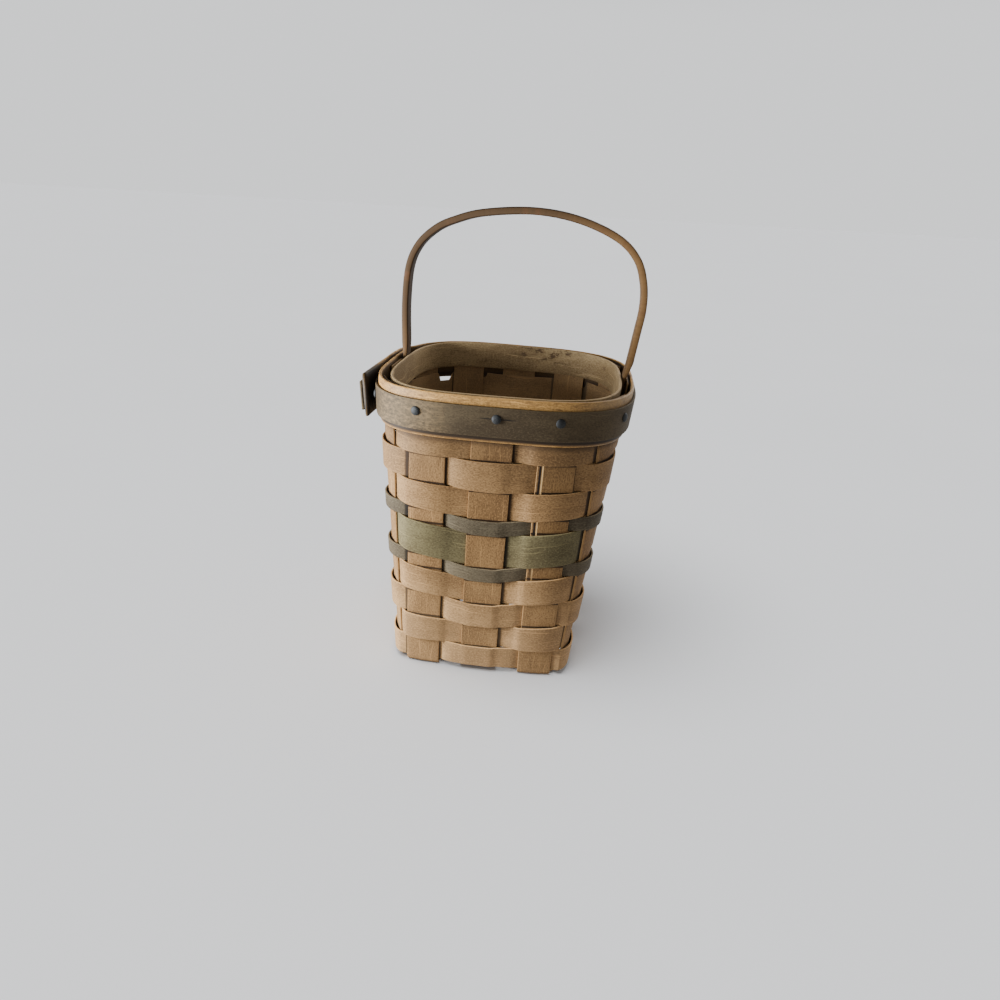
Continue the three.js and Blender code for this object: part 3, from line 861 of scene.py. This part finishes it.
def hoop():
    """The handle: a thinned tail on each side, and the bow between them."""
    tails = []
    for side, along in ((LEFT, -LEFT_LEG_BACK), (RIGHT, RIGHT_LEG_BACK)):
        z = np.linspace(TAIL_LOW, RIM_TOP + FIT, TAIL_STEPS)
        point, normal = wall_point(turn_at(side, np.full(TAIL_STEPS, along), z), z)
        tails.append(point - normal * (STAKE_FACE + FIT + TAIL_THICKNESS / 2))
    left, right = tails[0][-1], tails[1][-1]
    share = np.array(HOOP_LINE)
    span = right[0] + HOOP_SPREAD - left[0]
    line = np.stack([left[0] + share[:, 0] * span, left[1] + (right[1] - left[1]) * share[:, 0],
                     RIM_TOP + share[:, 1] * HOOP_RISE], axis=1)
    bow = through_points(line, HOOP_STEPS)
    middle = np.concatenate([tails[0], bow, tails[1][::-1]])
    along = np.gradient(middle, axis=0)
    along[:, 1] = 0
    along /= np.linalg.norm(along, axis=1, keepdims=True)
    swell = np.clip((middle[:, 2] - RIM_TOP) / LEG_SWELL, 0, 1)
    thick = TAIL_THICKNESS + (HOOP_THICKNESS - TAIL_THICKNESS) * swell
    outwards = np.stack([-along[:, 2], np.zeros(len(along)), along[:, 0]], axis=1) * thick[:, None] / 2
    across = np.tile([0.0, HOOP_DEPTH / 2, 0.0], (len(middle), 1))
    return middle, across, outwards


def through_points(points, steps):
    """A smooth curve through points, with a number of steps between each two."""
    wide = np.concatenate([2 * points[:1] - points[1:2], points, 2 * points[-1:] - points[-2:-1]])
    before, start, end, after = wide[:-3], wide[1:-2], wide[2:-1], wide[3:]
    t = (np.arange(steps) / steps)[None, :, None]
    before, start, end, after = (v[:, None] for v in (before, start, end, after))
    curve = 0.5 * (2 * start + (end - before) * t + (2 * before - 5 * start + 4 * end - after) * t ** 2
                   + (3 * start - before - 3 * end + after) * t ** 3)
    return np.concatenate([curve.reshape(-1, 3), points[-1:]])


def tack_places(names):
    """The seat and the axis of each tack's head, read from its solid."""
    seats, axes = [], []
    for name in names:
        corners = np.array([v.co for v in frame["nodes"][name].data.vertices])
        centre = corners.mean(axis=0)
        axis = np.linalg.svd(corners - centre)[2][0]
        if axis @ (centre * (1, 1, 0)) < 0:
            axis = -axis
        height = corners @ axis
        head = corners[height > height.max() - (TACK_HEAD_HEIGHT + FIT / 2) * MM]
        seat = (head.max(axis=0) + head.min(axis=0)) / 2
        seat = seat + axis * (height.max() - TACK_HEAD_HEIGHT * MM - seat @ axis)
        seat[2] += rim_rise(seat / MM) * MM
        seats.append(seat)
        axes.append(axis)
    return np.array(seats), np.array(axes)


# Finishes

def shade(red, green, blue):
    """A colour as it looks on a screen, from 0 to 255, as a linear one."""
    channels = np.array([red, green, blue]) / 255
    linear = np.where(channels > 0.04045, ((channels + 0.055) / 1.055) ** 2.4, channels / 12.92)
    return (*linear.tolist(), 1.0)


def blend(amount, first, second):
    return amount.other("ShaderNodeMix", {"data_type": "RGBA"}, {0: amount, 6: first, 7: second}, 2)


def new_finish(name):
    material = bpy.data.materials.new(name)
    material.use_nodes = True
    tree = material.node_tree
    tree.nodes.clear()
    leave = tree.nodes.new("ShaderNodeOutputMaterial")
    return material, tree, leave


def surface(tree, leave, colour, roughness, height, depth, constants):
    """Ends a finish: a shader with a colour, a roughness and a bump of a depth in metres."""
    bump = height.other("ShaderNodeBump", None, {"Strength": 1.0, "Distance": depth, "Height": height})
    inputs = {"Base Color": colour, "Roughness": roughness, "Normal": bump, **constants}
    shader = Wire.add(tree, "ShaderNodeBsdfPrincipled", None, inputs)
    tree.links.new(shader.socket, leave.inputs["Surface"])


def grain_of(tree):
    """Millimetres along and across a splint, its share across, which face it is, and its own number."""
    grain = Wire.add(tree, "ShaderNodeUVMap", {"uv_map": "grain"})
    own = Wire.add(tree, "ShaderNodeAttribute", {"attribute_name": "splint"}, None, "Vector")
    return grain.part(0) / MM, grain.part(1) / MM, own.part(0), own.part(1), own.part(2)


def painted_shadow_of(tree):
    """1 where a splint has painted shadow: a row beside a stake, or a stake at a row's lower edge."""
    return Wire.add(tree, "ShaderNodeAttribute", {"attribute_name": "stain"}, None, "Vector").part(0)


def tinted(colour, red, green, blue):
    return (colour[0] * red, colour[1] * green, colour[2] * blue, 1.0)


def splint_finish(name, middle, roughness, detail=None, speckle=0.8, painted_lighting=0.0):
    """Stained splint: broad tone, mottling, fibres, specks, pores, pale scratches, pale edges that are
    partly wear and partly a painted highlight, and painted shadow beside stakes and under rows, with
    painted light and shade over the weave.

    Each pattern is spaced in millimetres along and across the splint.
    """
    material, tree, leave = new_finish(name)
    along, across, side, face, seed = grain_of(tree)
    strand = across + joined(along / 26, across / 14, seed + 3).noise(2.0) * 6
    broad = joined(along / 42, across / 16, seed * 2.3).noise(3.0, 0.55)
    mottle = joined(along / 7, across / 4, seed + 11).noise(3.0, 0.6)
    fibres = joined(along / 11, strand / 0.4, seed + 23).noise(3.0, 0.65)
    specks = joined(along / 1.1, across / 0.7, seed + 31).noise(3.0, 0.75)
    pores = joined(along / 3.5, strand / 0.5, seed + 37).noise(2.0, 0.6)
    scratches = joined(along / 45, strand / 0.9, seed + 47).noise(1.0, 0.4)
    pale = tinted(middle, 1.45, 1.5, 1.6)
    dark = tinted(middle, 0.5, 0.46, 0.42)
    colour = blend(broad.rise(0.3, 0.7), tinted(middle, 0.68, 0.64, 0.6), tinted(middle, 1.26, 1.28, 1.3))
    colour = colour.paint(dark, mottle.rise(0.52, 0.76) * 0.5)
    colour = colour.paint(pale, mottle.rise(0.46, 0.22) * 0.3)
    colour = colour.paint(dark, fibres.rise(0.5, 0.8) * 0.45)
    colour = colour.paint(pale, specks.rise(0.5, 0.64) * speckle)
    colour = colour.paint(dark, specks.rise(0.5, 0.36) * speckle)
    colour = colour.paint(dark, pores.rise(0.55, 0.7) * 0.5)
    colour = colour.paint(tinted(middle, 2.0, 2.0, 2.0), scratches.rise(0.66, 0.71) * 0.55)
    # Pale edges: partly wear and partly a painted highlight along each edge
    colour = colour.paint(tinted(middle, 1.9, 1.9, 1.9), abs(side).rise(0.965, 0.99) * 0.6)
    # Painted shadow: near black beside stakes' edges and under rows' lower edges
    colour = colour.paint(tinted(dark, 0.2, 0.18, 0.16), painted_shadow_of(tree).rise(0.84, 0.96) * 0.95)
    # Painted light and shade on the weave: lighter towards the bottom as if lit from the floor, darker near
    # the top as shade under the rim, and paler inner faces as light inside
    if painted_lighting:
        height = Wire.add(tree, "ShaderNodeTexCoord", None, None, "Object").part(2) / MM
        inner = face.rise(0.2, -0.2)
        low_light = height.rise(LOW_LIGHT_BELOW, 0.0) * painted_lighting
        painted_light_scale = 1 + low_light - height.rise(TOP_SHADE_FROM, BAND_LOW) * TOP_SHADE
        colour = colour.vector_math("SCALE", painted_light_scale + inner * INSIDE_PALER)
        colour = colour.paint(shade(158, 136, 106), low_light * 0.3)
        colour = colour.paint(shade(128, 112, 86), inner * 0.35)
        # Painted shadow in a line just under the outer band, on the outer face
        under_band = height.rise(BAND_LOW - BAND_LINE_FROM, BAND_LOW - BAND_LINE_FULL) * (1 - inner)
        colour = colour.paint(tinted(dark, 0.4, 0.4, 0.4), under_band * 0.8)
    if detail:
        colour = detail(colour, along, across, side, face, seed)
    rough = roughness + (specks - 0.5) * 0.25
    relief = fibres * 0.5 + specks * 0.4 + mottle * 0.3
    surface(tree, leave, colour, rough, relief, SPLINT_RELIEF * MM, {"Specular IOR Level": 0.12})
    return material


def near(value, place, reach):
    """1 at a place on a splint, and 0 further from it than a reach."""
    return abs(value - place).rise(reach, MARK_FULL * reach)


def honey_detail(free_end):
    """The band has blots and one grey place, and is dark low down, with a painted shadow line under the
    trim and painted shade inside and at its free end.
    """
    def paint(colour, along, across, side, face, seed):
        deep = shade(46, 35, 24)
        blots = joined(along / 6, across / 2, seed + 71).noise(3.0, 0.6)
        colour = colour.paint(shade(82, 58, 34), blots.rise(0.5, 0.68) * 0.65)
        colour = colour.paint(shade(96, 84, 66), near(along, BAND_GREY_AT, BAND_GREY_REACH) * 0.55)
        colour = colour.paint(shade(78, 58, 38), side.rise(-0.45, -0.66) * side.rise(-0.98, -0.92) * 0.85)
        # Painted shadow in a line just under the trim's lower edge
        colour = colour.paint(tinted(deep, 0.3, 0.3, 0.3), near(side, -0.8, 0.13) * 0.9)
        # Painted shade on the inner face
        colour = colour.paint(deep, face.rise(0.35, -0.35) * side.rise(0.98, 0.9) * 0.8)
        # Painted shade at the free end
        end = along.rise(free_end - FREE_END_DARK_FROM, free_end - FREE_END_DARK_FULL)
        return colour.paint(shade(24, 20, 15), end * 0.9)
    return paint


def handle_detail(length):
    """The handle has painted shade from its left leg to its crest, with brown patches all along."""
    def paint(colour, along, across, side, face, seed):
        patches = joined(along / 9, across / 5, seed + 73).noise(3.0, 0.6)
        # Painted shade over the crest
        crest_shade = near(along, CREST_SHADE_AT * length, CREST_SHADE_REACH * length)
        colour = colour.paint(shade(33, 22, 11), crest_shade * 0.75)
        return colour.paint(shade(78, 50, 30), patches.rise(0.52, 0.7) * 0.5)
    return paint


def stake_detail(colour, along, across, side, face, seed):
    """Paints a split along the right front stake's left edge, with a pale sliver beside it."""
    split = near(seed, SPLIT_STAKE, 0.5) * near(along, SPLIT_MIDDLE, SPLIT_REACH) * face.rise(-0.2, 0.2)
    colour = colour.paint(shade(20, 14, 9), split * near(across, SPLIT_ACROSS, SPLIT_HALF))
    sliver = near(across, SPLIT_ACROSS + SLIVER_OFF, SLIVER_HALF)
    return colour.paint(shade(176, 142, 96), split * sliver)


def inner_detail(colour, along, across, side, face, seed):
    """Old stains, most of them at the back on the right."""
    blots = joined(along / 6.5, across / 3.5, seed + 61).noise(4.0, 0.7)
    faint = joined(along / 11, across / 6, seed + 67).noise(2.0, 0.6)
    back = near(along, INNER_STAIN_AT, INNER_STAIN_REACH) * side.rise(-0.6, 0.2)
    stain = shade(46, 30, 20)
    colour = colour.paint(stain, blots.rise(0.49, 0.62) * back * 0.8)
    return colour.paint(stain, faint.rise(0.58, 0.75) * 0.4)


def trim_detail(crack_along, crack_across):
    """The strip is split along its grain on both sides of one tack, and has a painted highlight in one
    place.
    """
    def paint(colour, along, across, side, face, seed):
        waver = joined(along / 5, seed, 0).noise(2.0) - 0.5
        split = near(across - waver * 0.8, crack_across, TRIM_SPLIT_HALF)
        split = split * near(along, crack_along, TRIM_SPLIT_REACH)
        # Painted highlight near the front left corner
        corner_highlight = joined(along / 3, across / 1.5, seed + 79).noise(4.0, 0.75)
        corner_highlight = near(along, TRIM_HIGHLIGHT_AT, TRIM_HIGHLIGHT_REACH) * corner_highlight.rise(0.35, 0.75)
        colour = colour.paint(shade(116, 95, 66), corner_highlight * 0.55)
        return colour.paint(shade(16, 12, 9), split)
    return paint


def tack_finish():
    material, tree, leave = new_finish("blued_steel")
    at = Wire.add(tree, "ShaderNodeTexCoord", None, None, "Object").vector_math("SCALE", 1 / MM)
    wear = at.noise(3.0, 0.6)
    colour = blend(wear.rise(0.4, 0.75), shade(12, 13, 13), shade(30, 31, 32))
    rough = 0.55 + wear * 0.25
    constants = {"Metallic": 0.15, "Specular IOR Level": 0.3}
    surface(tree, leave, colour, rough, wear, TACK_RELIEF * MM, constants)
    return material


def stage_finish():
    material, tree, leave = new_finish("pale_floor")
    at = Wire.add(tree, "ShaderNodeTexCoord", None, None, "Object").vector_math("SCALE", 3.0)
    cloud = at.noise(2.0)
    colour = blend(cloud, shade(222, 223, 225), shade(226, 227, 229))
    surface(tree, leave, colour, 0.6 + cloud * 0.1, cloud, FLOOR_RELIEF * MM, {})
    return material


# The basket

SPLINT_TREE = splint_tree()
TACK_TREE = tack_tree()

FINISHES = {
    "stake_splint": splint_finish("stake_splint", shade(102, 76, 46), 0.72, stake_detail, painted_lighting=0.3),
    "tan_splint": splint_finish("tan_splint", shade(106, 80, 50), 0.68, painted_lighting=0.55),
    "olive_splint": splint_finish("olive_splint", shade(76, 68, 45), 0.7, painted_lighting=0.5),
    "dark_splint": splint_finish("dark_splint", shade(64, 56, 42), 0.7, painted_lighting=0.5),
    "inner_rim_wood": splint_finish("inner_rim_wood", shade(122, 102, 72), 0.7, inner_detail, 0.6),
}


def place(piece, slot, nodes):
    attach(piece, "root")
    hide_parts(*nodes)


def weave():
    subparts = frame["record"]["subparts"]
    slots = [entry["material_slot"] for entry in subparts if entry["node"].startswith("weaver")]
    for i, slot in enumerate(slots):
        name = f"weaver_row_{i + 1:02d}"
        strip, painted_shadow = woven_row(i)
        piece = splint(f"{name}_splint", *strip, FINISHES[slot], True, painted_shadow=painted_shadow,
                       seed=ROW_SEED + i)
        place(piece, slot, [name])
    for up_side, family, stakes in STAKE_FAMILIES:
        for stake, where in enumerate(stakes):
            name = f"stake_{family}_{where}"
            middle, across, outwards, bow = stake_strip(up_side, stake)
            piece = splint(f"{name}_splint", middle, across, outwards, FINISHES["stake_splint"], False, bow,
                           row_shade(up_side, stake, middle),
                           seed=STAKE_SEED + STAKES_PER_SIDE * up_side + stake)
            place(piece, "stake_splint", [name])


def rim():
    piece = splint("rim_band_inner_strip", *inner_band(), FINISHES["inner_rim_wood"], True,
                   seed=INNER_BAND_SEED, squareness=5.0)
    place(piece, "inner_rim_wood", ["rim_band_inner"])
    band = lapped_band(BAND_LOW, RIM_TOP, OUTER_FACE, OUTER_BAND_THICKNESS)
    free_end = float(np.linalg.norm(np.diff(band[0], axis=0), axis=1).sum())
    finish = splint_finish("honey_rim_wood", shade(134, 101, 56), 0.55, honey_detail(free_end))
    piece = splint("rim_band_outer_strip", *band, finish, False, seed=OUTER_BAND_SEED, squareness=5.0)
    place(piece, "honey_rim_wood", ["rim_band_outer"])
    trim = lapped_band(TRIM_LOW, TRIM_TOP, TRIM_FACE, TRIM_THICKNESS)
    detail = trim_detail(*split_place(trim[0]))
    finish = splint_finish("trim_splint", shade(56, 46, 31), 0.72, detail, 0.6)
    piece = splint("rim_trim_splint", *trim, finish, False, seed=TRIM_SEED)
    place(piece, "trim_splint", ["rim_trim_strip"])


def split_place(middle):
    """Where the middle front tack goes through a strip, along and across it."""
    seat = tack_places(["tack_front_2"])[0][0] / MM
    nearest = np.argmin(np.linalg.norm(middle - seat, axis=1))
    steps = np.linalg.norm(np.diff(middle[:nearest + 1], axis=0), axis=1)
    return float(steps.sum()), float(seat[2] - middle[nearest, 2])


def handle():
    bent = hoop()
    length = float(np.linalg.norm(np.diff(bent[0], axis=0), axis=1).sum())
    finish = splint_finish("handle_wood", shade(78, 57, 33), 0.7, handle_detail(length), 0.6)
    piece = splint("handle_hoop_bow", *bent, finish, False, squareness=6.0, section=29,
                   wander=0.3, wander_length=40.0, seed=HANDLE_SEED)
    place(piece, "handle_wood", ["handle_hoop"])


def tacks():
    names = sorted(name for name in frame["nodes"] if name.startswith("tack_"))
    seats, axes = tack_places(names)
    piece = grow("rim_tacks", make_mesh("rim_tacks", seats, {"axis": axes}), TACK_TREE, {
        "Head Radius": TACK_HEAD_RADIUS * MM,
        "Head Height": TACK_HEAD_HEIGHT * MM,
        "Seed": TACK_SEED,
        "Material": tack_finish(),
    })
    place(piece, "tack_steel", names)


weave()
rim()
handle()
tacks()


# Stage, light and camera

def studio():
    mesh = bpy.data.meshes.new("floor")
    reach = FLOOR_REACH
    corners = [(-reach, -reach, 0), (reach, -reach, 0), (reach, reach, 0), (-reach, reach, 0)]
    mesh.from_pydata(corners, [], [(0, 1, 2, 3)])
    floor = bpy.data.objects.new("floor", mesh)
    bpy.context.scene.collection.objects.link(floor)
    mesh.materials.append(stage_finish())
    world = bpy.data.worlds.new("pale_room")
    bpy.context.scene.world = world
    world.use_nodes = True
    tree = world.node_tree
    height = Wire.add(tree, "ShaderNodeTexCoord", None, None, "Generated").part(2)
    pale = (*np.array(ROOM_TINT) * ROOM_PALE, 1.0)
    dim = (*np.array(ROOM_TINT) * ROOM_DIM, 1.0)
    light = blend(height.rise(PALE_UP_TO, DIM_FROM), pale, dim)
    tree.links.new(light.socket, tree.nodes["Background"].inputs["Color"])
    for window in WINDOWS:
        hang_light(floor, "EXCLUDE", *window)
    hang_light(floor, "INCLUDE", *CEILING)


def hang_light(floor, floor_state, name, azimuth, elevation, width, strength, tint, distance=None):
    """A broad light from one way, far or near, which leaves the floor out or lights nothing else."""
    width = math.radians(width)
    way = way_to(math.radians(azimuth), math.radians(elevation))
    lamp = bpy.data.lights.new(name, "AREA" if distance else "SUN")
    lamp.color = tint
    light = bpy.data.objects.new(name, lamp)
    bpy.context.scene.collection.objects.link(light)
    light.rotation_euler = way.to_track_quat("Z", "Y").to_euler()
    if distance:
        lamp.shape = "DISK"
        lamp.size = 2 * distance * MM * math.tan(width / 2)
        lamp.energy = strength * math.pi * (distance * MM) ** 2
        light.location = (way * distance + Vector((0, 0, WINDOW_AIM))) * MM
        light.visible_camera = False
    else:
        lamp.angle = width
        lamp.energy = strength
    lit = bpy.data.collections.new(f"{name}_falls_on")
    lit.objects.link(floor)
    lit.collection_objects[0].light_linking.link_state = floor_state
    light.light_linking.receiver_collection = lit


def way_to(azimuth, elevation):
    """The way to a place seen from the basket; azimuth 0 is in front of it and 90 degrees on its right."""
    return Vector((math.sin(azimuth) * math.cos(elevation), -math.cos(azimuth) * math.cos(elevation),
                   math.sin(elevation)))


def camera():
    back = way_to(CAMERA_AZIMUTH, CAMERA_ELEVATION)
    right = Vector((math.cos(CAMERA_AZIMUTH), math.sin(CAMERA_AZIMUTH), 0))
    up = back.cross(right)
    turned_right = right * math.cos(CAMERA_ROLL) + up * math.sin(CAMERA_ROLL)
    turned_up = up * math.cos(CAMERA_ROLL) - right * math.sin(CAMERA_ROLL)
    spot = right * TARGET_RIGHT + Vector((0, 0, TARGET_UP)) + back * CAMERA_DISTANCE
    lens = bpy.data.cameras.new("camera")
    lens.sensor_width = SENSOR_MM
    lens.lens = FOCAL_PIXELS / PICTURE_PIXELS * SENSOR_MM
    lens.clip_start = CLIP_START * MM
    view = bpy.data.objects.new("camera", lens)
    bpy.context.scene.collection.objects.link(view)
    turn = Matrix((turned_right, turned_up, back)).transposed().to_4x4()
    view.matrix_world = Matrix.Translation(spot * MM) @ turn
    bpy.context.scene.camera = view


studio()
camera()
